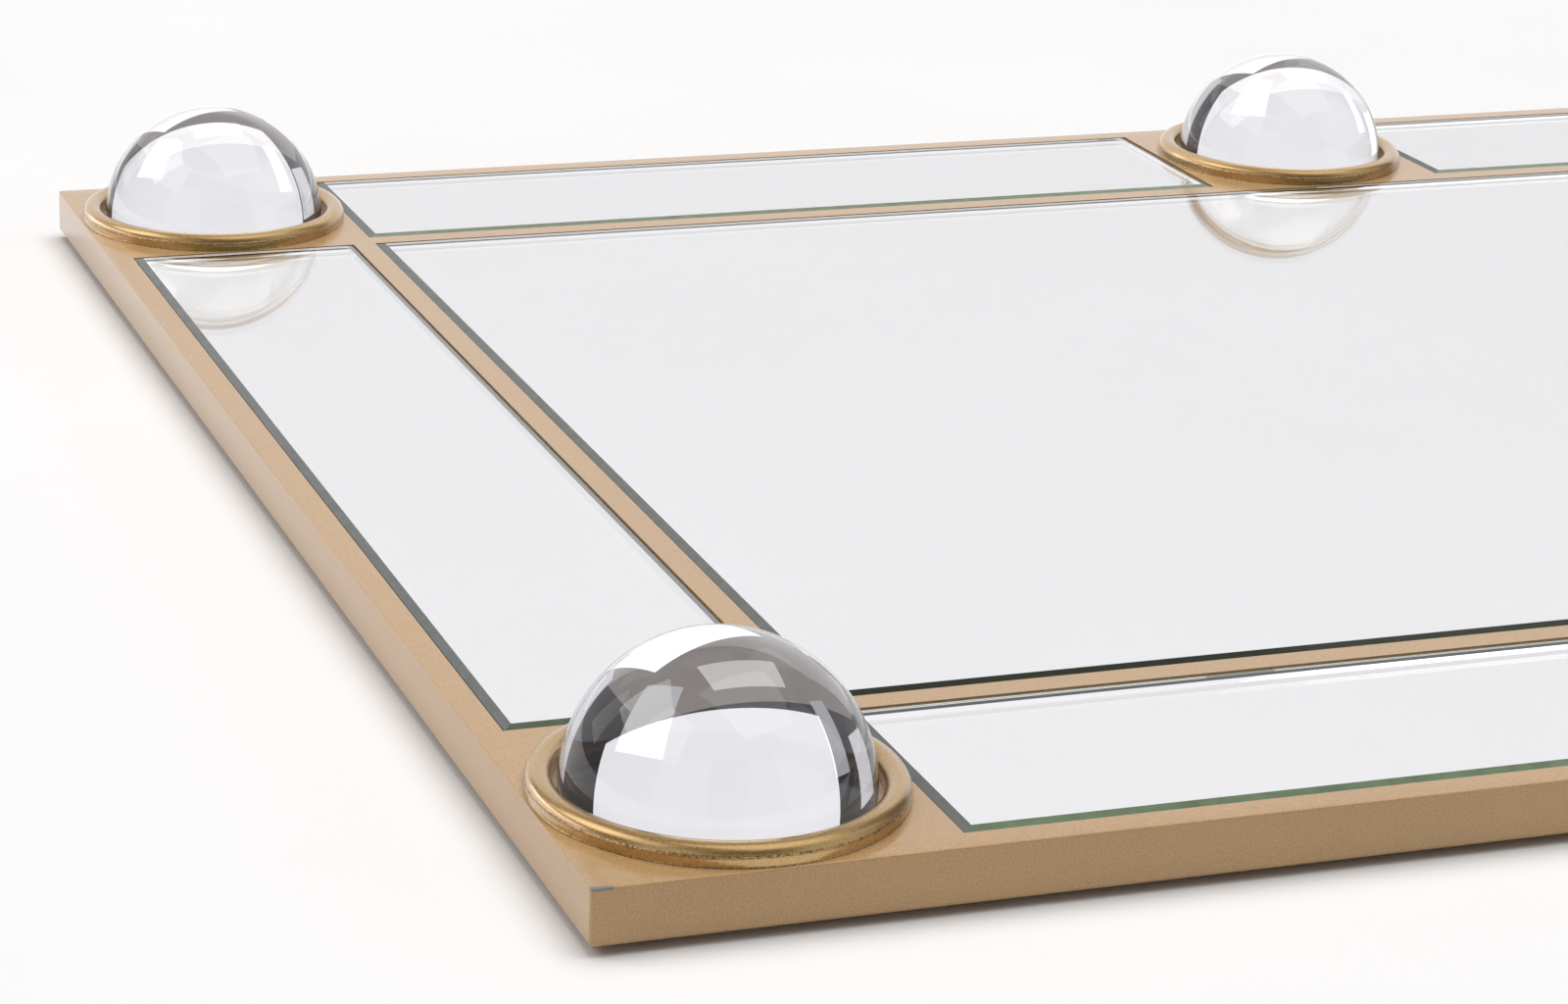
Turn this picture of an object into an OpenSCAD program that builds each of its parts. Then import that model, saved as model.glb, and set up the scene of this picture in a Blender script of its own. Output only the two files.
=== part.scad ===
// Mirrored dresser tray: a gold-painted steel grid holding seven bevelled mirror panes,
// with a solid crystal half-ball in a cast ring at each corner and halfway along each long side.
// +X runs along the tray, +Y to its back, +Z up. The origin is on the table, under the centre.

/* [Tray] */
// Length of the tray, along X
tray_l = 600; // [480:10:720]
// Depth of the tray, along Y
tray_d = 400; // [300:10:480]
// Height of the painted frame, without its feet
frame_h = 9.5; // [9:0.5:14]
// How far the feet lift the frame off the table
foot_lift = 1.5; // [1:0.5:3]

/* [Steel grid] */
// Width of the outer rail, seen from above
rail_w = 5; // [4:0.5:8]
// Width of the divider bars round the centre mirror
bar_w = 5; // [4:0.5:8]
// Width of the narrow mirror strips
strip_w = 50; // [50:1:60]
// Thickness of the divider bars and crystal plates
plate_t = 3; // [3:0.5:4]
// Radius on the rail's lower outer edge
rail_round = 1; // [0.5:0.25:2]
// Chamfer on the rail's upper outer edge
rail_chamfer = 0.25; // [0.1:0.05:0.5]

/* [Mirrors] */
// Thickness of the mirror glass
glass_t = 3; // [2.5:0.5:3]
// Height of the glass above the grid's top face
glass_proud = 0.3; // [0.2:0.1:0.5]
// Width of the bevel round each pane, seen from above
bevel_w = 1.6; // [1:0.2:4]
// Drop of the glass face across the bevel
bevel_drop = 0.5; // [0.4:0.1:1.2]
// Gap between a pane and the steel round it
pane_gap = 0.3; // [0.2:0.1:0.6]

/* [Crystals and rings] */
// Radius of each crystal half-ball
dome_r = 24.5; // [20:0.1:24.7]
// Thickness of the mirror disc glued under each crystal
disc_t = 0.6; // [0.4:0.1:1]
// Gap between a crystal and its ring
ring_gap = 0.9; // [0.4:0.1:1.1]
// Width of the ring's round crown
crown_w = 4; // [3:0.2:4]
// Height of the crown
crown_h = 1.7; // [1.2:0.1:2]
// Height of the collar under the crown
collar_h = 1.7; // [1:0.1:3]
// Width of the ledge on top of the collar, outside the crown
collar_ledge = 0.2; // [0.1:0.05:0.25]

/* [Base] */
// Thickness of the fibreboard back
board_t = 4; // [3:0.5:4.5]
// Gap between the board and the rails
board_gap = 0.5; // [0.3:0.1:1]
// Radius of each rubber foot
foot_r = 7; // [5:0.5:9]
// Distance of each board screw from its plate's centre, along X and Y
screw_offset = 15; // [12:1:16]

/* [Hidden] */

gold = [0.76, 0.60, 0.40];
silver = [0.90, 0.92, 0.92];

// Heights above the table
frame_top = foot_lift + frame_h;
grid_bottom = frame_top - plate_t;
board_bottom = grid_bottom - board_t;
glass_top = frame_top + glass_proud;
glass_bottom = glass_top - glass_t;
disc_top = frame_top + disc_t;

// Grid lines, as distances from the tray's middle
half_l = tray_l / 2;
half_d = tray_d / 2;
block = rail_w + strip_w + bar_w;
grid_x = half_l - block;
grid_y = half_d - block;
strip_in_y = half_d - rail_w - strip_w;
strip_in_x = half_l - rail_w - strip_w;
mid_half = block / 2;

// Places of the six crystals, left to right
crystal_y = half_d - block / 2;
crystal_x = half_l - block / 2;
columns = ["left", "middle", "right"];
rows = ["front", "back"];
function column_x(i) = (i - 1) * crystal_x;
function row_y(j) = (2 * j - 1) * crystal_y;

// Ring profile, as distances from the ring's own axis
ring_in = dome_r + ring_gap;
crown_r = ring_in + crown_w / 2;
collar_r = ring_in + crown_w + collar_ledge;

// Board screws
screw_r = 1.48;
screw_hole_r = 1.5;
screw_clear_r = 1.7;
screw_head_r = 2.9;
screw_head_gap = 0.15;
screw_head_h = 1.7;
screw_depth = 2.4;
screw_hole_depth = 2.5;

$fn = 64;
arc_steps = 12;

function arc(cx, cy, r, from, to) =
    [for (i = [0 : arc_steps]) let (a = from + (to - from) * i / arc_steps) [cx + r * cos(a), cy + r * sin(a)]];

// Cross-section of a rail: x runs inwards from the tray's side, y is the height above the rail's foot
module rail_profile() {
    polygon(concat(
        [[rail_w, 0], [rail_w, frame_h], [rail_chamfer, frame_h], [0, frame_h - rail_chamfer]],
        arc(rail_round, rail_round, rail_round, 180, 270)
    ));
}

// A rail along X with its outer side facing -Y, mitred at both ends
module rail(length, half_width) {
    intersection() {
        translate([-length / 2, -half_width, foot_lift])
            rotate([90, 0, 90])
                linear_extrude(height = length)
                    rail_profile();
        linear_extrude(height = frame_top)
            polygon([
                [-length / 2, -half_width],
                [length / 2, -half_width],
                [length / 2 - rail_w, rail_w - half_width],
                [rail_w - length / 2, rail_w - half_width]
            ]);
    }
}

module long_rail() {
    color(gold) rail(tray_l, half_d);
}

module short_rail() {
    color(gold) rotate([0, 0, 90]) rail(tray_d, half_l);
}

// The long dividers run between the left and right strips' inner edges
module long_divider() {
    color(gold)
        translate([-grid_x, grid_y, grid_bottom])
            cube([2 * grid_x, bar_w, plate_t]);
}

module short_divider() {
    color(gold)
        translate([grid_x, -grid_y, grid_bottom])
            cube([bar_w, 2 * grid_y, plate_t]);
}

// Places of the two board screws under one crystal, on a diagonal
module screw_places() {
    for (side = [-1, 1])
        translate([side * screw_offset, side * screw_offset])
            children();
}

// Plate that carries a crystal: it fills a corner of the grid, or the gap between two strips
module plate(i, j) {
    corner = i != 1;
    x0 = corner ? grid_x : -mid_half;
    x1 = corner ? half_l - rail_w : mid_half;
    y0 = corner ? grid_y : strip_in_y;
    y1 = half_d - rail_w;
    color(gold)
        difference() {
            translate([i == 0 ? -x1 : x0, j == 0 ? -y1 : y0, grid_bottom])
                cube([x1 - x0, y1 - y0, plate_t]);
            translate([column_x(i), row_y(j), grid_bottom - 1])
                screw_places()
                    cylinder(r = screw_hole_r, h = screw_hole_depth + 1);
        }
}

// Cast ring: a low round crown on a straight collar, with a narrow ledge where the two meet
module ring(i, j) {
    color(gold)
        translate([column_x(i), row_y(j), frame_top])
            rotate_extrude($fn = 128)
                polygon(concat(
                    [[ring_in, 0], [collar_r, 0], [collar_r, collar_h]],
                    [for (p = arc(0, 0, 1, 0, 180)) [crown_r + p.x * crown_w / 2, collar_h + p.y * crown_h]]
                ));
}

module crystal(i, j) {
    color([0.93, 0.95, 0.97, 0.5])
        translate([column_x(i), row_y(j), disc_top])
            intersection() {
                sphere(r = dome_r, $fn = 128);
                cylinder(r = dome_r + 1, h = dome_r + 1);
            }
}

module disc(i, j) {
    color(silver)
        translate([column_x(i), row_y(j), frame_top])
            cylinder(r = dome_r - 0.5, h = disc_t, $fn = 128);
}

// Wedge that bevels one upper edge of a pane; the edge runs along X through the origin
module bevel_wedge(length) {
    rotate([90, 0, 90])
        linear_extrude(height = length + 2, center = true)
            polygon([[-1, 1], [-1, -bevel_drop - bevel_drop / bevel_w], [bevel_w, 0], [bevel_w, 1]]);
}

// Bevelled pane in its pocket, given as [left, front, right, back]
module pane(pocket) {
    w = pocket[2] - pocket[0] - 2 * pane_gap;
    d = pocket[3] - pocket[1] - 2 * pane_gap;
    color(silver)
        translate([(pocket[0] + pocket[2]) / 2, (pocket[1] + pocket[3]) / 2, 0])
            difference() {
                translate([-w / 2, -d / 2, glass_bottom]) cube([w, d, glass_t]);
                for (turn = [0, 180]) {
                    rotate([0, 0, turn]) translate([0, -d / 2, glass_top]) bevel_wedge(w);
                    rotate([0, 0, turn + 90]) translate([0, -w / 2, glass_top]) bevel_wedge(d);
                }
            }
}

// Pockets of the grid, as [left, front, right, back]
centre_pocket = [-grid_x, -grid_y, grid_x, grid_y];
left_pocket = [-half_l + rail_w, -grid_y, -strip_in_x, grid_y];
back_pocket = [-grid_x, strip_in_y, -mid_half, half_d - rail_w];

function mirrored_x(p) = [-p[2], p[1], -p[0], p[3]];
function mirrored_y(p) = [p[0], -p[3], p[2], -p[1]];

panes = [
    centre_pocket,
    left_pocket, mirrored_x(left_pocket),
    mirrored_y(back_pocket), mirrored_x(mirrored_y(back_pocket)),
    back_pocket, mirrored_x(back_pocket)
];
pane_names = [
    "mirror_centre", "mirror_left", "mirror_right",
    "mirror_front_left", "mirror_front_right", "mirror_back_left", "mirror_back_right"
];

// Double-sided foam strips under each pane, one along each long side of its pocket
tape_w = 12;
tape_inset = 4;
module tape_strip(x0, y0, x1, y1) {
    translate([x0, y0, grid_bottom])
        cube([x1 - x0, y1 - y0, glass_bottom - grid_bottom]);
}

module mirror_tape() {
    color("white")
        for (p = panes) {
            along_x = p[2] - p[0] > p[3] - p[1];
            x0 = p[0] + tape_inset;
            x1 = p[2] - tape_inset;
            y0 = p[1] + tape_inset;
            y1 = p[3] - tape_inset;
            tape_strip(x0, y0, along_x ? x1 : x0 + tape_w, along_x ? y0 + tape_w : y1);
            tape_strip(along_x ? x0 : x1 - tape_w, along_x ? y1 - tape_w : y0, x1, y1);
        }
}

// Fibreboard back, drilled and countersunk from below for the plate screws
module back_board() {
    board_x = half_l - rail_w - board_gap;
    board_y = half_d - rail_w - board_gap;
    color([0.45, 0.33, 0.22])
        difference() {
            translate([-board_x, -board_y, board_bottom]) cube([2 * board_x, 2 * board_y, board_t]);
            for (i = [0 : 2], j = [0 : 1])
                translate([column_x(i), row_y(j), board_bottom])
                    screw_places() {
                        translate([0, 0, -1]) cylinder(r = screw_clear_r, h = board_t + 2);
                        screw_head(screw_head_gap);
                    }
        }
}

// Countersunk head that stands on its widest face, grown by a clearance all round
module screw_head(grow) {
    translate([0, 0, -grow])
        cylinder(r1 = screw_head_r + 2 * grow, r2 = screw_r + grow, h = screw_head_h + 2 * grow);
}

module board_screws() {
    color("lightgray")
        for (i = [0 : 2], j = [0 : 1])
            translate([column_x(i), row_y(j), board_bottom])
                screw_places() {
                    screw_head(0);
                    cylinder(r = screw_r, h = board_t + screw_depth);
                }
}

// Rubber foot stuck to the board, standing a little below the rails
module foot(i, j) {
    color([0.12, 0.12, 0.12])
        translate([column_x(i), row_y(j), 0])
            rotate_extrude()
                polygon(concat(
                    [[0, 0]],
                    arc(foot_r - 1, 1, 1, 270, 360),
                    [[foot_r, board_bottom], [0, board_bottom]]
                ));
}

function place(part, i, j) = str(part, "_", rows[j], "_", columns[i]);

long_rail();  // front_rail
rotate([0, 0, 180]) long_rail();  // back_rail
rotate([0, 0, 180]) short_rail();  // left_rail
short_rail();  // right_rail
rotate([0, 0, 180]) long_divider();  // front_divider
long_divider();  // back_divider
rotate([0, 0, 180]) short_divider();  // left_divider
short_divider();  // right_divider
for (i = [0 : 2], j = [0 : 1]) {
    plate(i, j);
    ring(i, j);
    crystal(i, j);
    disc(i, j);
    foot(i, j);
}
for (k = [0 : len(panes) - 1])
    pane(panes[k]);
mirror_tape();
back_board();
board_screws();
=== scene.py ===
"""The looks of a mirrored vanity tray: a gold-painted grid, bevelled mirrors and crystal half-balls."""
from math import asin, atan2, cos, degrees, exp, pi, radians, sin, tan

import bmesh
import bpy
from mathutils import Matrix, Vector, noise


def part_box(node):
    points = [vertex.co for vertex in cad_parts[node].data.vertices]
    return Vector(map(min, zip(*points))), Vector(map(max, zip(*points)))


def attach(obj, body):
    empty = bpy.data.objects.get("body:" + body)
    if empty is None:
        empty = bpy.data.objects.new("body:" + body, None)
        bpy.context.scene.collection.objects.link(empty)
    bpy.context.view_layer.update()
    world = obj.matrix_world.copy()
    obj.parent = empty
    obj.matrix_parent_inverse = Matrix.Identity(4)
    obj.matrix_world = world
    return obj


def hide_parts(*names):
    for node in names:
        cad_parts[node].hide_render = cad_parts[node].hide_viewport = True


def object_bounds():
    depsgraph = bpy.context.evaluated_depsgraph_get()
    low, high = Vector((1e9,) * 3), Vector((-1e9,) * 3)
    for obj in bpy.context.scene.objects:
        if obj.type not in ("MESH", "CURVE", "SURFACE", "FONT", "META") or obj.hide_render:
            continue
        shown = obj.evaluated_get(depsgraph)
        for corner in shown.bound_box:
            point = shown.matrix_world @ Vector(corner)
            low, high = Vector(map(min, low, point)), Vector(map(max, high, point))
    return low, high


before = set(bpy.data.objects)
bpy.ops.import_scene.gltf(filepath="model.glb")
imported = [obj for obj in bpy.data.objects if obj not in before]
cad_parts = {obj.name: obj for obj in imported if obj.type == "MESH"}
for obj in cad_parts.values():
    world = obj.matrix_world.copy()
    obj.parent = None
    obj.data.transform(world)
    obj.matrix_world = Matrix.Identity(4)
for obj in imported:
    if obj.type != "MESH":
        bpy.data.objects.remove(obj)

MM = 0.001
MM_PER_METRE = 1000
SCENE = bpy.context.scene
CAD_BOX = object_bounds()

ROWS = ("front", "back")
COLUMNS = ("left", "middle", "right")
PLACES = [f"{row}_{column}" for row in ROWS for column in COLUMNS]
PANES = ("centre", "left", "right", "front_left", "front_right", "back_left", "back_right")
RAILS = ("front", "back", "left", "right")

# Sizes of the details that the frame's boxes don't give, in metres
BEVEL_W = 1.6 * MM
BEVEL_DROP = 0.5 * MM
ARRIS = 0.15 * MM
SILVER_INSET = 0.1 * MM
SILVER_LIFT = 0.02 * MM
SILVER_DEPTH = 0.12 * MM
RAIL_EDGE_R = 0.28 * MM
RAIL_FOOT_R = 1.0 * MM
CORNER_R = 0.8 * MM
CROWN_W = 4.0 * MM
CROWN_H = 1.7 * MM
COLLAR_LEDGE = 0.2 * MM
COLLAR_SEAM = 0.05 * MM
CAST_CLEARANCE = 0.03 * MM
CRYSTAL_ARRIS_H = 0.3 * MM
CRYSTAL_ARRIS_W = 0.35 * MM
CRYSTAL_GAP = 0.05 * MM
FOOT_RIM_R = 1.0 * MM
FOOT_DISH_R = 3.6 * MM
FOOT_DISH_DEPTH = 0.5 * MM
SCREW_OFFSET = 15.0 * MM
SCREW_R = 1.48 * MM
SCREW_HEAD_R = 2.9 * MM
SCREW_HEAD_H = 1.7 * MM
SCREW_HEAD_EDGE = 0.15 * MM
CROSS_ARM = 1.7 * MM
CROSS_HALF_W = 0.45 * MM
CROSS_DEPTH = 1.1 * MM
CROSS_TAPER = 0.55
CROSS_TURN = 20


# ---------------------------------------------------------------- camera
CAMERA_PLACE = Vector((-0.46798, -0.69525, 0.25104))
CAMERA_AZIMUTH = 18.52
CAMERA_ELEVATION = 19.13
CAMERA_ROLL = 1.58
CAMERA_LENS = 91.93
CAMERA_SHIFT = 0.125


def make_camera():
    data = bpy.data.cameras.new("camera")
    data.sensor_width = 36.0
    data.lens = CAMERA_LENS
    data.shift_x = CAMERA_SHIFT
    data.clip_start = 0.01
    camera = bpy.data.objects.new("camera", data)
    SCENE.collection.objects.link(camera)
    aim = (
        Matrix.Rotation(-radians(CAMERA_AZIMUTH), 4, "Z")
        @ Matrix.Rotation(radians(90 - CAMERA_ELEVATION), 4, "X")
        @ Matrix.Rotation(radians(CAMERA_ROLL), 4, "Z")
    )
    camera.matrix_world = Matrix.Translation(CAMERA_PLACE) @ aim
    SCENE.camera = camera


# ---------------------------------------------------------------- node helpers
class Graph:
    """Adds nodes to one material's or world's tree."""

    def __init__(self, owner):
        owner.use_nodes = True
        self.tree = owner.node_tree
        self.tree.nodes.clear()

    def node(self, kind, inputs=None, **settings):
        made = self.tree.nodes.new(kind)
        for name, value in settings.items():
            setattr(made, name, value)
        for name, value in (inputs or {}).items():
            if isinstance(value, bpy.types.NodeSocket):
                self.tree.links.new(value, made.inputs[name])
            else:
                made.inputs[name].default_value = value
        return made

    def math(self, operation, a, b=0.0):
        return self.node("ShaderNodeMath", {0: a, 1: b}, operation=operation).outputs[0]

    def vector_math(self, operation, a, b=(0.0, 0.0, 0.0), output="Vector"):
        return self.node("ShaderNodeVectorMath", {0: a, 1: b}, operation=operation).outputs[output]

    def place(self):
        """Position in metres, the same on every piece, so that a pattern runs on across joints."""
        return self.node("ShaderNodeTexCoord").outputs["Object"]

    def noise(self, scale, detail=3.0, roughness=0.5, stretch=None):
        where = self.place()
        if stretch:
            where = self.node("ShaderNodeMapping", {"Vector": where, "Scale": stretch}).outputs[0]
        return self.node(
            "ShaderNodeTexNoise",
            {"Vector": where, "Scale": scale, "Detail": detail, "Roughness": roughness},
        ).outputs["Fac"]

    def spread(self, value, low, high, from_low=0.3, from_high=0.7):
        """value from from_low to from_high, as a number from low to high."""
        return self.node(
            "ShaderNodeMapRange",
            {"Value": value, "From Min": from_low, "From Max": from_high, "To Min": low, "To Max": high},
        ).outputs[0]

    def blend(self, factor, first, second):
        made = self.node("ShaderNodeMix", data_type="RGBA")
        for index, value in ((0, factor), (6, first), (7, second)):
            if isinstance(value, bpy.types.NodeSocket):
                self.tree.links.new(value, made.inputs[index])
            else:
                made.inputs[index].default_value = value
        return made.outputs[2]

    def bump(self, height, distance):
        return self.node("ShaderNodeBump", {"Height": height, "Distance": distance}).outputs[0]

    def output(self, shader, kind="ShaderNodeOutputMaterial"):
        self.node(kind, {"Surface": shader})


def rgba(colour, share=1.0):
    return (colour[0] * share, colour[1] * share, colour[2] * share, 1.0)


# ---------------------------------------------------------------- materials
# How fast a chip's wear fades along the three axes: slowly along X and quickly in height
CHIP_FADE = (0.16, 0.70, 1.40)
CHIP_CORE = 0.55 * MM
CHIP_EDGE = 0.70 * MM
CHIP_RAGGEDNESS = 0.15 * MM
BARE_METAL = (0.19, 0.18, 0.17, 1.0)
SEAM_HALF_WIDTH = 0.30 * MM
SEAM_LUMPS = 16.0
ORANGE_PEEL = 0.008 * MM
LACQUER_IOR = 1.5
# Fineness of the paint's patterns, in features per metre
CLOUD_SCALE = 45.0
MOTTLE_SCALE = 420.0
CHIP_SCALE = 700.0
PEEL_SCALE = 1500.0
LUMP_SCALE = 1900.0
FLAKE_SCALE = 2600.0


def wear_at_corners(graph):
    """1 where the paint has chipped off a corner of the tray, down to bare metal."""
    size = CAD_BOX[1]
    corner = (size.x, size.y, RAIL_TOP)
    mirrored = graph.vector_math("ABSOLUTE", graph.place())
    apart = graph.vector_math("SUBTRACT", mirrored, corner)
    away = graph.vector_math("LENGTH", graph.vector_math("MULTIPLY", apart, CHIP_FADE), output="Value")
    ragged = graph.spread(graph.noise(CHIP_SCALE, 2.0), -CHIP_RAGGEDNESS, CHIP_RAGGEDNESS)
    return graph.spread(graph.math("ADD", away, ragged), 1.0, 0.0, CHIP_CORE, CHIP_EDGE)


def grain_band(graph, heights, half):
    """1 near the given heights above the table, 0 elsewhere."""
    height = graph.node("ShaderNodeSeparateXYZ", {0: graph.place()}).outputs["Z"]
    mask = 0.0
    for level in heights:
        away = graph.math("ABSOLUTE", graph.math("SUBTRACT", height, level))
        mask = graph.math("MAXIMUM", mask, graph.spread(away, 1.0, 0.0, 0.3 * half, half))
    return mask


def gold_paint(name, colour, metallic, roughness, lacquer_roughness, rough_heights=()):
    """Sprayed gold paint with fine flake, under satin lacquer with a slight orange peel.

    It's rough and pitted at the given heights, with painted shade darkening the pitting, or else chipped at
    the tray's corners.
    """
    material = bpy.data.materials.new(name)
    graph = Graph(material)
    cloud = graph.noise(CLOUD_SCALE, 4.0, 0.6)
    mottle = graph.noise(MOTTLE_SCALE, 3.0, 0.6)
    flake = graph.noise(FLAKE_SCALE, 2.0, 0.6)
    tone = graph.blend(graph.spread(cloud, 0.0, 1.0), rgba(colour, 0.955), rgba(colour, 1.035))
    tone = graph.blend(graph.spread(mottle, 0.0, 0.10), tone, rgba(colour, 0.70))
    tone = graph.blend(graph.spread(flake, 0.0, 0.35, 0.45, 0.7), tone, rgba(colour, 1.5))
    tone = graph.blend(graph.spread(flake, 0.25, 0.0, 0.3, 0.5), tone, rgba(colour, 0.6))
    rough = graph.math(
        "ADD", graph.spread(cloud, roughness - 0.03, roughness + 0.04), graph.spread(flake, -0.05, 0.05)
    )
    peel = graph.math("ADD", graph.noise(PEEL_SCALE, 2.0, 0.5), graph.spread(mottle, 0.0, 0.6))
    if rough_heights:
        band = grain_band(graph, rough_heights, SEAM_HALF_WIDTH)
        lumps = graph.noise(LUMP_SCALE, 3.0, 0.7)
        rough_seam = graph.math("MULTIPLY", graph.math("MULTIPLY", lumps, band), SEAM_LUMPS)
        peel = graph.math("ADD", peel, rough_seam)
        # Painted shade: the pitted spots of the rough seams are darkened, as shade in their hollows
        pit_shade = graph.math("MULTIPLY", graph.spread(lumps, 0.9, 0.0, 0.42, 0.54), band)
        tone = graph.blend(pit_shade, tone, rgba(colour, 0.20))
    else:
        tone = graph.blend(wear_at_corners(graph), tone, BARE_METAL)
    shader = graph.node(
        "ShaderNodeBsdfPrincipled",
        {
            "Base Color": tone,
            "Roughness": rough,
            "Normal": graph.bump(peel, ORANGE_PEEL),
            "Metallic": metallic,
            "IOR": LACQUER_IOR,
            "Specular IOR Level": 0.2,
            "Coat Weight": 1.0,
            "Coat Roughness": lacquer_roughness,
            "Coat IOR": LACQUER_IOR,
            "Coat Normal": graph.bump(peel, 0.4 * ORANGE_PEEL),
        },
    )
    graph.output(shader.outputs[0])
    return material


def silver(name, colour):
    """Mirror silvering, with very faint clouds of tarnish."""
    material = bpy.data.materials.new(name)
    graph = Graph(material)
    tarnish = graph.noise(14.0, 4.0, 0.6)
    tone = graph.blend(graph.spread(tarnish, 0.0, 1.0), rgba(colour, 0.985), rgba(colour))
    shader = graph.node(
        "ShaderNodeBsdfPrincipled", {"Base Color": tone, "Metallic": 1.0, "Roughness": 0.0}
    )
    graph.output(shader.outputs[0])
    return material


def clear_glass(name, colour, ior):
    """Polished glass, with hair-fine differences of tint from cord in the melt."""
    material = bpy.data.materials.new(name)
    graph = Graph(material)
    cord = graph.noise(9.0, 2.0, 0.5, (1.0, 1.0, 3.0))
    tint = graph.blend(graph.spread(cord, 0.0, 1.0), rgba(colour, 0.995), rgba(colour))
    shader = graph.node(
        "ShaderNodeBsdfPrincipled",
        {"Base Color": tint, "Roughness": 0.0, "IOR": ior, "Transmission Weight": 1.0},
    )
    graph.output(shader.outputs[0])
    return material


# Painted light on the bevels: colour of trapped light before it runs any distance, its loss on the way, and
# the near-black painted shade left when it has faded
TRAPPED_LIGHT = (0.20, 0.275, 0.170)
TRAPPED_LOSS_PER_METRE = 7.8
BEVEL_PAINTED_BLACK = 0.001


def trapped_light_colour(path):
    """Colour of light that has run that far between a pane's faces before it leaves through a bevel."""
    return [BEVEL_PAINTED_BLACK + part * exp(-TRAPPED_LOSS_PER_METRE * path) for part in TRAPPED_LIGHT]


def bevel_glass(name, glass_colour, ior, trapped):
    """A polished bevel: from outside its colour is painted light, standing for the light trapped in the
    pane, and from inside it is clear.
    """
    material = bpy.data.materials.new(name)
    graph = Graph(material)
    # Painted light: the outside colour stands in for light trapped in the pane, with random streaks
    streak = graph.noise(260.0, 2.0, 0.5)
    tone = graph.blend(graph.spread(streak, 0.0, 1.0), rgba(trapped, 0.85), rgba(trapped, 1.12))
    outside = graph.node(
        "ShaderNodeBsdfPrincipled",
        {"Base Color": tone, "Roughness": 0.05, "IOR": ior, "Specular IOR Level": 0.5},
    )
    inside = graph.node(
        "ShaderNodeBsdfPrincipled",
        {"Base Color": rgba(glass_colour), "Roughness": 0.0, "IOR": ior, "Transmission Weight": 1.0},
    )
    side = graph.node("ShaderNodeNewGeometry").outputs["Backfacing"]
    mixed = graph.node(
        "ShaderNodeMixShader", {0: side, 1: outside.outputs[0], 2: inside.outputs[0]}
    )
    graph.output(mixed.outputs[0])
    return material


def plain_stuff(name, dark, light, scale, roughness, bump_distance, metallic=0.0):
    """A mottled opaque material: board, foam, zinc, rubber or the studio's floor."""
    material = bpy.data.materials.new(name)
    graph = Graph(material)
    mottle = graph.noise(scale, 6.0, 0.6)
    tone = graph.blend(graph.spread(mottle, 0.0, 1.0), rgba(dark), rgba(light))
    shader = graph.node(
        "ShaderNodeBsdfPrincipled",
        {
            "Base Color": tone,
            "Roughness": graph.spread(mottle, roughness - 0.06, roughness + 0.06),
            "Normal": graph.bump(mottle, bump_distance),
            "Metallic": metallic,
        },
    )
    graph.output(shader.outputs[0])
    return material


GLASS_IOR = 1.52
GLASS_TINT = (0.990, 0.995, 0.990)
CRYSTAL_TINT = (0.995, 0.995, 1.0)

GOLD = (0.435, 0.267, 0.116)
GOLD_RING = (0.535, 0.342, 0.130)
RAIL_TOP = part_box("front_rail")[1].z
RING_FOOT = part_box("ring_front_left")[0].z
RING_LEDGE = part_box("ring_front_left")[1].z - CROWN_H

MATERIALS = {
    "gold_rail": gold_paint("gold_rail", GOLD, metallic=0.15, roughness=0.45, lacquer_roughness=0.16),
    "gold_grid": gold_paint("gold_grid", GOLD, metallic=0.15, roughness=0.45, lacquer_roughness=0.16),
    "gold_ring": gold_paint(
        "gold_ring", GOLD_RING, metallic=0.85, roughness=0.33, lacquer_roughness=0.18,
        rough_heights=(RING_FOOT, RING_LEDGE),
    ),
    "silver": silver("silver", (0.965, 0.962, 0.964)),
    "disc_silver": silver("disc_silver", (0.93, 0.93, 0.95)),
    "pane_glass": clear_glass("pane_glass", GLASS_TINT, GLASS_IOR),
    "crystal": clear_glass("crystal", CRYSTAL_TINT, GLASS_IOR),
    "board": plain_stuff(
        "board", (0.16, 0.10, 0.055), (0.26, 0.17, 0.095),
        scale=420.0, roughness=0.72, bump_distance=0.05 * MM,
    ),
    "tape": plain_stuff(
        "tape", (0.74, 0.74, 0.71), (0.86, 0.86, 0.84),
        scale=900.0, roughness=0.8, bump_distance=0.03 * MM,
    ),
    "zinc": plain_stuff(
        "zinc", (0.50, 0.51, 0.53), (0.72, 0.73, 0.75),
        scale=700.0, roughness=0.32, bump_distance=0.01 * MM, metallic=1.0,
    ),
    "rubber": plain_stuff(
        "rubber", (0.012, 0.012, 0.013), (0.028, 0.028, 0.030),
        scale=900.0, roughness=0.62, bump_distance=0.02 * MM,
    ),
}


# ---------------------------------------------------------------- mesh helpers
def object_of(name, builder, materials):
    mesh = bpy.data.meshes.new(name)
    builder.to_mesh(mesh)
    builder.free()
    for material in materials:
        mesh.materials.append(material)
    made = bpy.data.objects.new(name, mesh)
    SCENE.collection.objects.link(made)
    return made


def piece_of(name, builder, materials, nodes):
    """Turns a bmesh into a piece that rides on the tray and stands for CAD nodes."""
    bmesh.ops.recalc_face_normals(builder, faces=builder.faces[:])
    piece = object_of(name, builder, materials)
    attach(piece, "root")
    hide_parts(*nodes)
    return piece


def loop_of(builder, points):
    return [builder.verts.new(point) for point in points]


def bridge(builder, lower, upper, smooth=False):
    """Faces between two closed loops of the same length."""
    made = []
    for i in range(len(lower)):
        j = (i + 1) % len(lower)
        face = builder.faces.new((lower[i], lower[j], upper[j], upper[i]))
        face.smooth = smooth
        made.append(face)
    return made


def cap(builder, loop):
    builder.faces.new(loop)


def sharpen(loop):
    """Marks the edges round a loop of vertices as sharp."""
    ring = set(loop)
    for vertex in loop:
        for edge in vertex.link_edges:
            if edge.other_vert(vertex) in ring:
                edge.smooth = False


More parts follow.
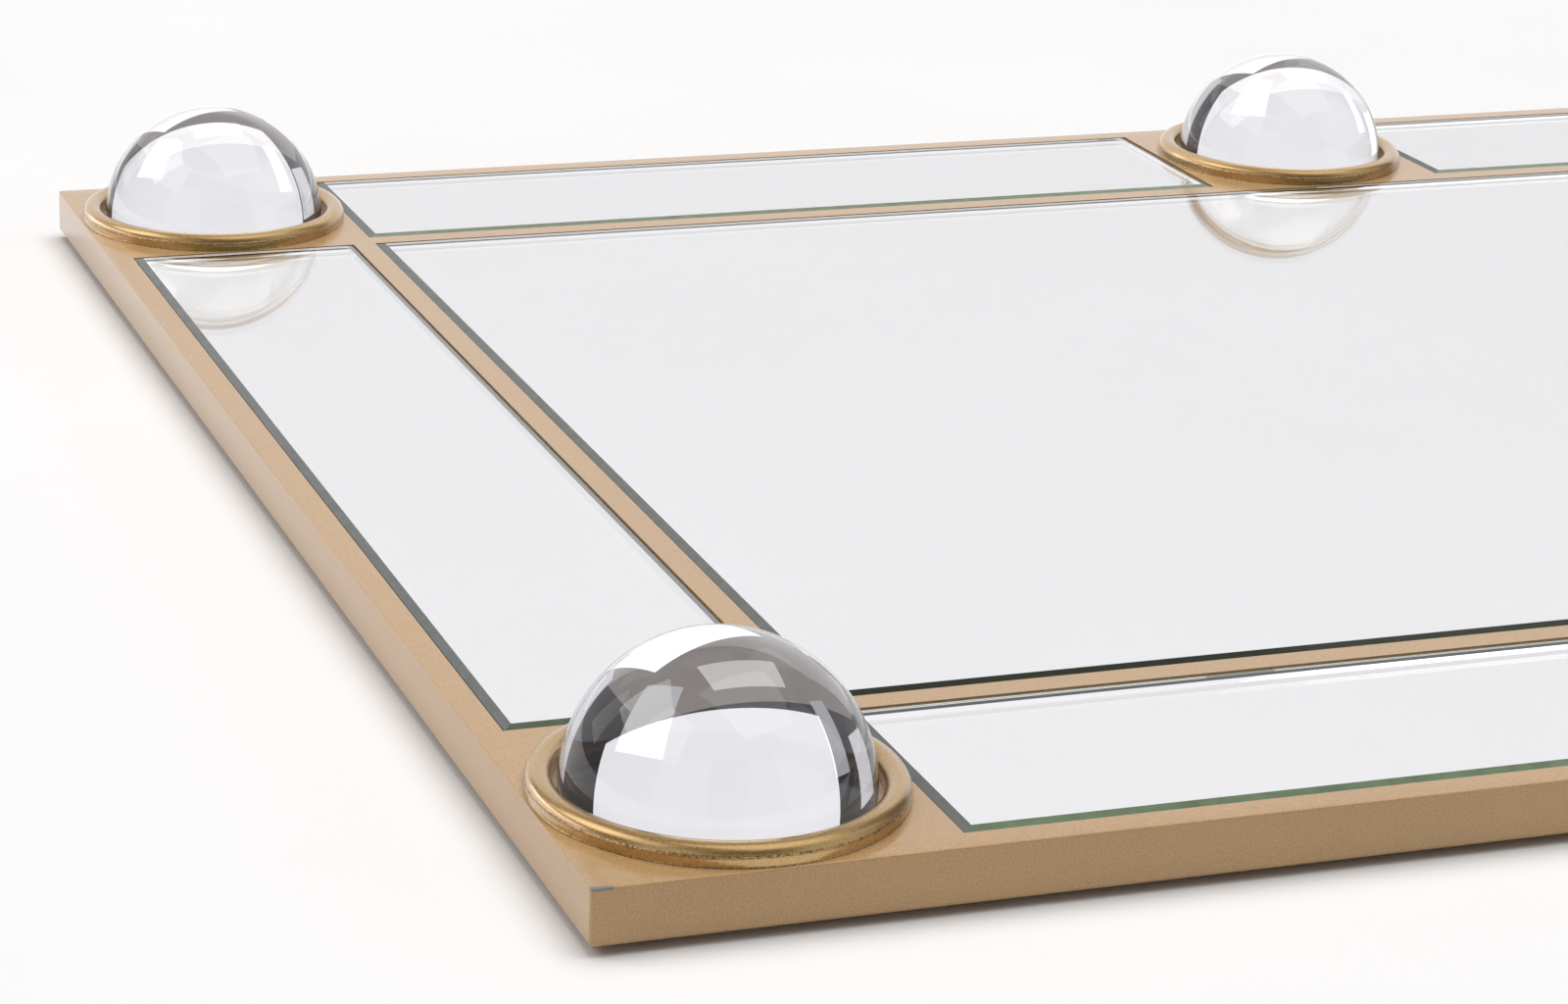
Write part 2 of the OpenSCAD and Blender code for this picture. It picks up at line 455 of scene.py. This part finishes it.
def turned(builder, centre, profile, steps, change=None):
    """Turns a profile of (radius, height) round an upright axis. Points on the axis close it."""
    loops = []
    for index, (radius, height) in enumerate(profile):
        if radius == 0:
            loops.append([builder.verts.new(centre + Vector((0, 0, height)))])
            continue
        points = []
        for i in range(steps):
            angle = 2 * pi * i / steps
            r, z = change(index, angle, radius, height) if change else (radius, height)
            points.append(centre + Vector((r * cos(angle), r * sin(angle), z)))
        loops.append(loop_of(builder, points))
    for first, second in zip(loops, loops[1:]):
        if len(first) == 1 or len(second) == 1:
            tip, ring = (first[0], second) if len(first) == 1 else (second[0], first)
            for i in range(steps):
                builder.faces.new((tip, ring[i], ring[(i + 1) % steps])).smooth = True
        else:
            bridge(builder, first, second, smooth=True)
    return loops


def arc(centre_r, centre_z, radius, start, end, steps):
    """Points on an arc in a turned profile, angles in degrees from straight outwards."""
    angles = [radians(start + (end - start) * i / steps) for i in range(steps + 1)]
    return [(centre_r + radius * cos(a), centre_z + radius * sin(a)) for a in angles]


def middle_of(node):
    low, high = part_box(node)
    return (low + high) / 2


# ---------------------------------------------------------------- painted grid
RAIL_ARC_STEPS = 6
CORNER_STEPS = 4
# Degrees between two faces of a rail, from which their edge is sharp
RAIL_SHARP_ANGLE = 40
WELD_DISTANCE = 0.001 * MM


def rail_profile(height, width):
    """A rail's outline from its inner foot round to its inner top: (distance in from the side, height)."""
    angles = [radians(90 * i / RAIL_ARC_STEPS) for i in range(RAIL_ARC_STEPS + 1)]
    foot = [(RAIL_FOOT_R * (1 - sin(a)), RAIL_FOOT_R * (1 - cos(a))) for a in angles]
    edge = [(RAIL_EDGE_R * (1 - cos(a)), height - RAIL_EDGE_R * (1 - sin(a))) for a in angles]
    return [(width, 0.0)] + foot + edge + [(width, height)]


def make_rail(side):
    """A mitred rail whose half of each corner is rounded in plan."""
    node = f"{side}_rail"
    low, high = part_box(node)
    tray_half = CAD_BOX[1]
    along_x = side in ("front", "back")
    half = (high.x - low.x) / 2 if along_x else (high.y - low.y) / 2
    across = tray_half.y if along_x else tray_half.x
    width = (high.y - low.y) if along_x else (high.x - low.x)
    turn = {"front": 0, "right": 90, "back": 180, "left": 270}[side]
    spin = Matrix.Rotation(radians(turn), 3, "Z")
    angles = [radians(45 * i / CORNER_STEPS) for i in range(CORNER_STEPS + 1)]
    stations = [(-1, a) for a in reversed(angles)] + [(1, a) for a in angles]
    builder = bmesh.new()
    rings = []
    for end, a in stations:
        ring = []
        for inward, height in rail_profile(high.z - low.z, width):
            reach = max(CORNER_R - inward, 0.0)
            edge = max(inward, CORNER_R)
            x = end * (half - edge + reach * sin(a))
            y = -(across - edge + reach * cos(a))
            ring.append(builder.verts.new(spin @ Vector((x, y, low.z + height))))
        rings.append(ring)
    for first, second in zip(rings, rings[1:]):
        bridge(builder, first, second, smooth=True)
    for ring in (rings[0], rings[-1]):
        cap(builder, ring)
    bmesh.ops.remove_doubles(builder, verts=builder.verts[:], dist=WELD_DISTANCE)
    piece = piece_of(f"{side}_rail_painted", builder, [MATERIALS["gold_rail"]], [node])
    piece.data.set_sharp_from_angle(angle=radians(RAIL_SHARP_ANGLE))
    return piece


RING_STEPS = 560
CROWN_STEPS = 26
# Height of a casting's swells and of its grain in millimetres, and their fineness in features per millimetre
SWELL_MM = 0.02
GRAIN_MM = 0.12
SWELL_SCALE = 0.09
GRAIN_SCALES = (1.3, 2.9)
# Heights of the rows on a ring's collar, as shares of its height: closest at its rough foot and ledge
COLLAR_ROWS = (0.0, 0.12, 0.25, 0.5, 0.75, 0.9, 0.97)


def make_ring(place):
    """A cast ring: a smooth bead on a straight collar, rough at the collar's ledge and foot."""
    node = f"ring_{place}"
    low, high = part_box(node)
    centre = middle_of(node)
    centre.z = 0.0
    out = (high.x - low.x) / 2
    crown_out = out - COLLAR_LEDGE
    inner = crown_out - CROWN_W
    middle = (crown_out + inner) / 2
    collar = [(out, low.z + (RING_LEDGE - low.z) * share) for share in COLLAR_ROWS]
    collar.append((out - COLLAR_SEAM, RING_LEDGE))
    crown = [
        (middle + r * CROWN_W / 2, RING_LEDGE + z * CROWN_H) for r, z in arc(0, 0, 1, 0, 180, CROWN_STEPS)
    ]
    profile = [(inner, low.z)] + collar + crown
    rough_rows = (1, 2, 3, len(collar) - 1, len(collar))

    def cast(index, angle, radius, height):
        """Moves a point of the profile as the sand of the mould would have left it."""
        if index == 0:
            return radius, height
        spot = (Vector((cos(angle) * out, sin(angle) * out, height)) + centre) * MM_PER_METRE
        swell = noise.noise(spot * SWELL_SCALE) * SWELL_MM * MM
        grain = 0.0
        if index in rough_rows:
            grain = sum(noise.noise(spot * scale) * 0.5 for scale in GRAIN_SCALES) * GRAIN_MM * MM
        reach = min(radius + swell + grain - CAST_CLEARANCE, out)
        return reach, min(max(height + 0.5 * grain, low.z), high.z)

    builder = bmesh.new()
    loops = turned(builder, centre, profile, RING_STEPS, change=cast)
    bridge(builder, loops[-1], loops[0], smooth=True)
    sharpen(loops[0])
    sharpen(loops[1])
    sharpen(loops[len(collar)])
    return piece_of(f"ring_{place}_cast", builder, [MATERIALS["gold_ring"]], [node])


# ---------------------------------------------------------------- crystals
CRYSTAL_STEPS = 72
CRYSTAL_SIDES = 256


def make_crystal(place):
    """A polished half-ball with a ground arris round its base."""
    node = f"crystal_{place}"
    low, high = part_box(node)
    centre = middle_of(node)
    centre.z = 0.0
    radius = high.z - low.z
    base = low.z - CRYSTAL_GAP
    start = degrees(asin(CRYSTAL_ARRIS_H / radius))
    dome = arc(0.0, low.z, radius, start, 90, CRYSTAL_STEPS)
    dome[-1] = (0.0, high.z)
    profile = [(0.0, base), (radius - CRYSTAL_ARRIS_W, base)] + dome
    builder = bmesh.new()
    loops = turned(builder, centre, profile, CRYSTAL_SIDES)
    for loop in loops[1:3]:
        sharpen(loop)
    for face in loops[0][0].link_faces:
        face.smooth = False
    piece_of(f"crystal_{place}_polished", builder, [MATERIALS["crystal"]], [node])


# ---------------------------------------------------------------- mirrors
def rectangle(low, high, inset, z):
    x0, x1 = low.x + inset, high.x - inset
    y0, y1 = low.y + inset, high.y - inset
    return [Vector((x0, y0, z)), Vector((x1, y0, z)), Vector((x1, y1, z)), Vector((x0, y1, z))]


# Painted colour of the light trapped behind an end bevel, and how far trapped light runs for each metre
# of a pane's depth or length
END_BEVEL_PAINTED_LIGHT = (0.078, 0.090, 0.082)
PATH_ACROSS = 1.07
PATH_SLANT = 2.75


def side_path(size):
    """How far light runs in a pane before it leaves through a side bevel.

    It runs across the pane, or out of an end if that is nearer.
    """
    return min(PATH_ACROSS * size.y, PATH_SLANT * size.x)


def make_pane(name):
    """A bevelled glass pane and the silver coat inside its back face."""
    node = f"mirror_{name}"
    low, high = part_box(node)
    # Painted light trapped in the pane, seen through its side bevels
    side_painted_light = trapped_light_colour(side_path(high - low))
    glass = [
        MATERIALS["pane_glass"],
        bevel_glass(f"bevel_{name}_ends", GLASS_TINT, GLASS_IOR, END_BEVEL_PAINTED_LIGHT),
        bevel_glass(f"bevel_{name}_sides", GLASS_TINT, GLASS_IOR, side_painted_light),
    ]
    builder = bmesh.new()
    shoulder = high.z - BEVEL_DROP
    foot = loop_of(builder, rectangle(low, high, ARRIS, low.z))
    wall_low = loop_of(builder, rectangle(low, high, 0.0, low.z + ARRIS))
    wall_high = loop_of(builder, rectangle(low, high, 0.0, shoulder))
    top = loop_of(builder, rectangle(low, high, BEVEL_W, high.z))
    bridge(builder, foot, wall_low)
    bridge(builder, wall_low, wall_high)
    for i, face in enumerate(bridge(builder, wall_high, top)):
        face.material_index = 2 if i % 2 == 0 else 1
    cap(builder, top)
    cap(builder, foot)
    pane = piece_of(f"mirror_{name}_glass", builder, glass, [node])

    builder = bmesh.new()
    coat_low = loop_of(builder, rectangle(low, high, SILVER_INSET, low.z + SILVER_LIFT))
    coat_high = loop_of(builder, rectangle(low, high, SILVER_INSET, low.z + SILVER_DEPTH))
    bridge(builder, coat_low, coat_high)
    cap(builder, coat_low)
    cap(builder, coat_high)
    piece_of(f"mirror_{name}_silver", builder, [MATERIALS["silver"]], [node])
    return pane


# ---------------------------------------------------------------- base
FOOT_SIDES = 72
FOOT_RIM_STEPS = 8


def make_foot(place):
    """A moulded rubber foot with a rounded rim and a shallow dish."""
    node = f"foot_{place}"
    low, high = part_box(node)
    centre = middle_of(node)
    centre.z = 0.0
    radius = (high.x - low.x) / 2
    profile = [(0.0, FOOT_DISH_DEPTH), (FOOT_DISH_R, FOOT_DISH_DEPTH)]
    profile += [(FOOT_DISH_R + 0.5 * MM, 0.1 * MM), (FOOT_DISH_R + 0.9 * MM, 0.0)]
    profile += arc(radius - FOOT_RIM_R, FOOT_RIM_R, FOOT_RIM_R, -90, 0, FOOT_RIM_STEPS)
    profile += [(radius, high.z), (0.0, high.z)]
    builder = bmesh.new()
    loops = turned(builder, centre, profile, FOOT_SIDES)
    sharpen(loops[-2])
    piece_of(f"foot_{place}_moulded", builder, [MATERIALS["rubber"]], [node])


def cross_outline():
    """Outline of a screw's cross recess, turned a little, as a screwdriver would leave it."""
    arm = ((CROSS_HALF_W, -CROSS_HALF_W, 0), (CROSS_ARM, -CROSS_HALF_W, 0), (CROSS_ARM, CROSS_HALF_W, 0))
    outline = []
    for quarter in range(4):
        turn = Matrix.Rotation(radians(90 * quarter + CROSS_TURN), 3, "Z")
        outline += [turn @ Vector(point) for point in arm]
    return outline


def add_screw(builder, head, top):
    """A countersunk screw, from the middle of its head's face up to the height of its tip."""
    outline = cross_outline()
    angles = [atan2(point.y, point.x) for point in outline]
    mouth = loop_of(builder, [head + point for point in outline])
    depth = Vector((0, 0, CROSS_DEPTH))
    floor = loop_of(builder, [head + point * CROSS_TAPER + depth for point in outline])
    bridge(builder, mouth, floor)
    cap(builder, floor)
    rows = [
        (SCREW_HEAD_R - SCREW_HEAD_EDGE, 0.0),
        (SCREW_HEAD_R, 0.8 * SCREW_HEAD_EDGE),
        (SCREW_R, SCREW_HEAD_H),
        (SCREW_R, top - head.z),
    ]
    last = mouth
    for radius, height in rows:
        row = loop_of(builder, [head + Vector((cos(a) * radius, sin(a) * radius, height)) for a in angles])
        bridge(builder, last, row)
        last = row
    cap(builder, last)


def make_screws():
    """Two countersunk screws under each crystal."""
    low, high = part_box("board_screws")
    builder = bmesh.new()
    for place in PLACES:
        centre = middle_of(f"foot_{place}")
        for offset in (-SCREW_OFFSET, SCREW_OFFSET):
            add_screw(builder, Vector((centre.x + offset, centre.y + offset, low.z)), high.z)
    piece_of("board_screws_cut", builder, [MATERIALS["zinc"]], ["board_screws"])


# ---------------------------------------------------------------- studio
FLOOR_TONE = 0.81
FLOOR_HALF = 14.0
STUDIO_DARK = (0.038, 0.036, 0.038)
WHITE = (1.0, 1.0, 1.0)


def wall(azimuth, half_width, low, high):
    """A far upright panel: its middle and half its edges, from angles in degrees. Azimuth 0 is +Y."""
    a = radians(azimuth)
    bottom, top = tan(radians(low)), tan(radians(high))
    across = Vector((cos(a), -sin(a), 0)) * tan(radians(half_width))
    return Vector((sin(a), cos(a), (bottom + top) / 2)), across, Vector((0, 0, (top - bottom) / 2))


def ceiling(x, y, half_x, half_y, turn=0.0):
    """A far panel that lies level, one unit above the tray: its middle and half its edges."""
    spin = Matrix.Rotation(radians(turn), 3, "Z")
    return spin @ Vector((x, y, 1.0)), spin @ Vector((half_x, 0, 0)), spin @ Vector((0, half_y, 0))


# Far panels, each in front of those above it in the table: shape, brightness and colour
PANELS = (
    (wall(180, 80, -8, 62), 0.10, (1.0, 0.98, 0.97)),
    (wall(228, 20, -4, 50), 0.60, WHITE),
    (wall(135, 16, -4, 50), 0.60, WHITE),
    (ceiling(0, 0, 1.0, 1.0), 0.235, (1.0, 0.91, 0.84)),
    (ceiling(0.12, 0.68, 0.24, 0.15), 0.58, (1.0, 0.96, 0.90)),
    (wall(45, 9, 28, 49), 0.46, (1.0, 0.99, 0.99)),
    (wall(-22, 4.5, 22, 45), 0.40, (0.97, 0.97, 1.0)),
    (wall(-41, 8, 8, 32), 0.70, (0.98, 0.97, 1.0)),
    (wall(112, 24, 8, 50), 0.66, (0.97, 0.96, 1.0)),
    (wall(-100, 24, 33, 62), 1.15, WHITE),
    (ceiling(0.27, -0.29, 0.44, 0.455, 21), 1.3, (1.0, 0.995, 0.99)),
)
# Half the width of a far panel's soft edge, where the panel is one unit away
PANEL_SOFTNESS = 0.0001


def panel_mask(graph, direction, panel):
    """1 where direction meets the panel, 0 elsewhere, with a slightly soft edge."""
    middle, across, along = panel
    facing = across.cross(along).normalized()
    if facing.dot(middle) < 0:
        facing = -facing

    def along_axis(axis):
        return graph.vector_math("DOT_PRODUCT", direction, tuple(axis), output="Value")

    depth = along_axis(facing)
    reach = facing.dot(middle)
    mask = graph.math("GREATER_THAN", depth, 0.0)
    for edge in (across, along):
        axis = edge.normalized()
        met = graph.math("MULTIPLY", graph.math("DIVIDE", along_axis(axis), depth), reach)
        away = graph.math("ABSOLUTE", graph.math("SUBTRACT", met, axis.dot(middle)))
        soft = graph.spread(away, 1.0, 0.0, edge.length - PANEL_SOFTNESS, edge.length + PANEL_SOFTNESS)
        mask = graph.math("MULTIPLY", mask, soft)
    return mask


def make_world():
    world = bpy.data.worlds.new("studio")
    SCENE.world = world
    graph = Graph(world)
    direction = graph.node("ShaderNodeTexCoord").outputs["Generated"]
    light = rgba(STUDIO_DARK)
    for panel, brightness, colour in PANELS:
        light = graph.blend(panel_mask(graph, direction, panel), light, rgba(colour, brightness))
    background = graph.node("ShaderNodeBackground", {"Color": light})
    graph.output(background.outputs[0], "ShaderNodeOutputWorld")


def make_light(name, place, aim, width, height, radiance, colour):
    """A softbox of a given radiance. The camera doesn't see it."""
    data = bpy.data.lights.new(name, "AREA")
    data.shape = "RECTANGLE"
    data.size = width
    data.size_y = height
    data.energy = radiance * pi * width * height
    data.color = colour
    light = bpy.data.objects.new(name, data)
    SCENE.collection.objects.link(light)
    facing = (Vector(aim) - Vector(place)).to_track_quat("-Z", "Y")
    light.matrix_world = Matrix.Translation(place) @ facing.to_matrix().to_4x4()
    light.visible_camera = False
    return light


def group_of(name, pieces, state="INCLUDE"):
    """A collection that names the pieces one light reaches, or with EXCLUDE the pieces it misses."""
    group = bpy.data.collections.new(name)
    for piece in pieces:
        group.objects.link(piece)
    for item in group.collection_objects:
        item.light_linking.link_state = state
    return group


CARD_DISTANCE = 4000.0
# Pale cards that only the mirrors show, so that they're as bright from every side: shape and brightness
MIRROR_CARDS = {
    "left_card": (wall(-85, 27, -4, 33), 0.80),
    "right_card": (wall(74, 14, -4, 50), 0.915),
    "front_right_card": (wall(120, 32, -4, 50), 0.22),
    "front_card": (wall(180, 28, -4, 62), 0.75),
    "front_left_card": (wall(228, 20, -4, 50), 0.25),
}
# The card above the tray: place, aim, width, height, radiance and colour
TOP_CARD = ((0.0, 0.0, 2.6), (0.0, 0.0, 0.0), 5.0, 5.0, 0.40, WHITE)


def make_mirror_cards(panes):
    cards = []
    for name, ((middle, across, along), radiance) in MIRROR_CARDS.items():
        place = middle * CARD_DISTANCE
        width = 2 * across.length * CARD_DISTANCE
        height = 2 * along.length * CARD_DISTANCE
        cards.append(make_light(name, place, (0.0, 0.0, place.z), width, height, radiance, WHITE))
    cards.append(make_light("top_card", *TOP_CARD))
    shown_in = group_of("shown_in", panes)
    for card in cards:
        card.visible_diffuse = False
        card.visible_glossy = False
        card.light_linking.receiver_collection = shown_in


# Softboxes near the tray: place, aim, width, height, radiance and colour
SOFTBOXES = {
    "backdrop": ((0.1125, 0.4975, 0.325), (0.0025, -0.4925, 0.325), 1.22, 0.65, 0.89, (0.985, 0.98, 1.0)),
    "left_softbox": ((-1.9, 0.75, 1.9), (-0.1, 0.0, 0.0), 1.5, 1.5, 2.3, (1.0, 0.98, 0.98)),
    "left_strip": ((-1.5, 0.9, 0.22), (-0.3, 0.0, 0.0), 1.8, 0.42, 3.0, (0.84, 0.84, 1.0)),
    "overhead_fill": ((0.2, 0.3, 3.0), (0.0, 0.0, 0.0), 2.6, 2.6, 3.45, WHITE),
}


def make_lights(painted, floor):
    """The softboxes. The backdrop isn't seen on the floor, and the strip lights painted pieces only."""
    lights = {name: make_light(name, *values) for name, values in SOFTBOXES.items()}
    lights["backdrop"].visible_diffuse = False
    lights["backdrop"].light_linking.receiver_collection = group_of("all_but_floor", [floor], "EXCLUDE")
    lights["left_strip"].light_linking.receiver_collection = group_of("painted", painted)
    lights["overhead_fill"].visible_glossy = False
    for name in ("left_softbox", "left_strip", "overhead_fill"):
        lights[name].visible_transmission = False


def make_floor():
    material = plain_stuff(
        "floor_paper", rgba(WHITE, FLOOR_TONE - 0.01), rgba(WHITE, FLOOR_TONE),
        scale=6.0, roughness=0.7, bump_distance=0.0,
    )
    builder = bmesh.new()
    corners = [(-1, -1), (1, -1), (1, 1), (-1, 1)]
    cap(builder, loop_of(builder, [Vector((x, y, 0.0)) * FLOOR_HALF for x, y in corners]))
    floor = object_of("floor", builder, [material])
    return floor


# ---------------------------------------------------------------- everything
def dress_cad_nodes():
    """Materials for the CAD nodes that stay as they are."""
    dress = {
        "disc_silver": [f"disc_{place}" for place in PLACES],
        "gold_grid": [f"plate_{place}" for place in PLACES] + [f"{side}_divider" for side in RAILS],
        "tape": ["mirror_tape"],
        "board": ["back_board"],
    }
    for material, nodes in dress.items():
        for node in nodes:
            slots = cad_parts[node].data.materials
            slots.clear()
            slots.append(MATERIALS[material])


def main():
    SCENE.view_settings.view_transform = "Standard"
    make_camera()
    make_world()
    floor = make_floor()
    dress_cad_nodes()
    painted = [make_rail(side) for side in RAILS] + [make_ring(place) for place in PLACES]
    make_lights(painted, floor)
    for place in PLACES:
        make_crystal(place)
        make_foot(place)
    make_mirror_cards([make_pane(name) for name in PANES])
    make_screws()


main()
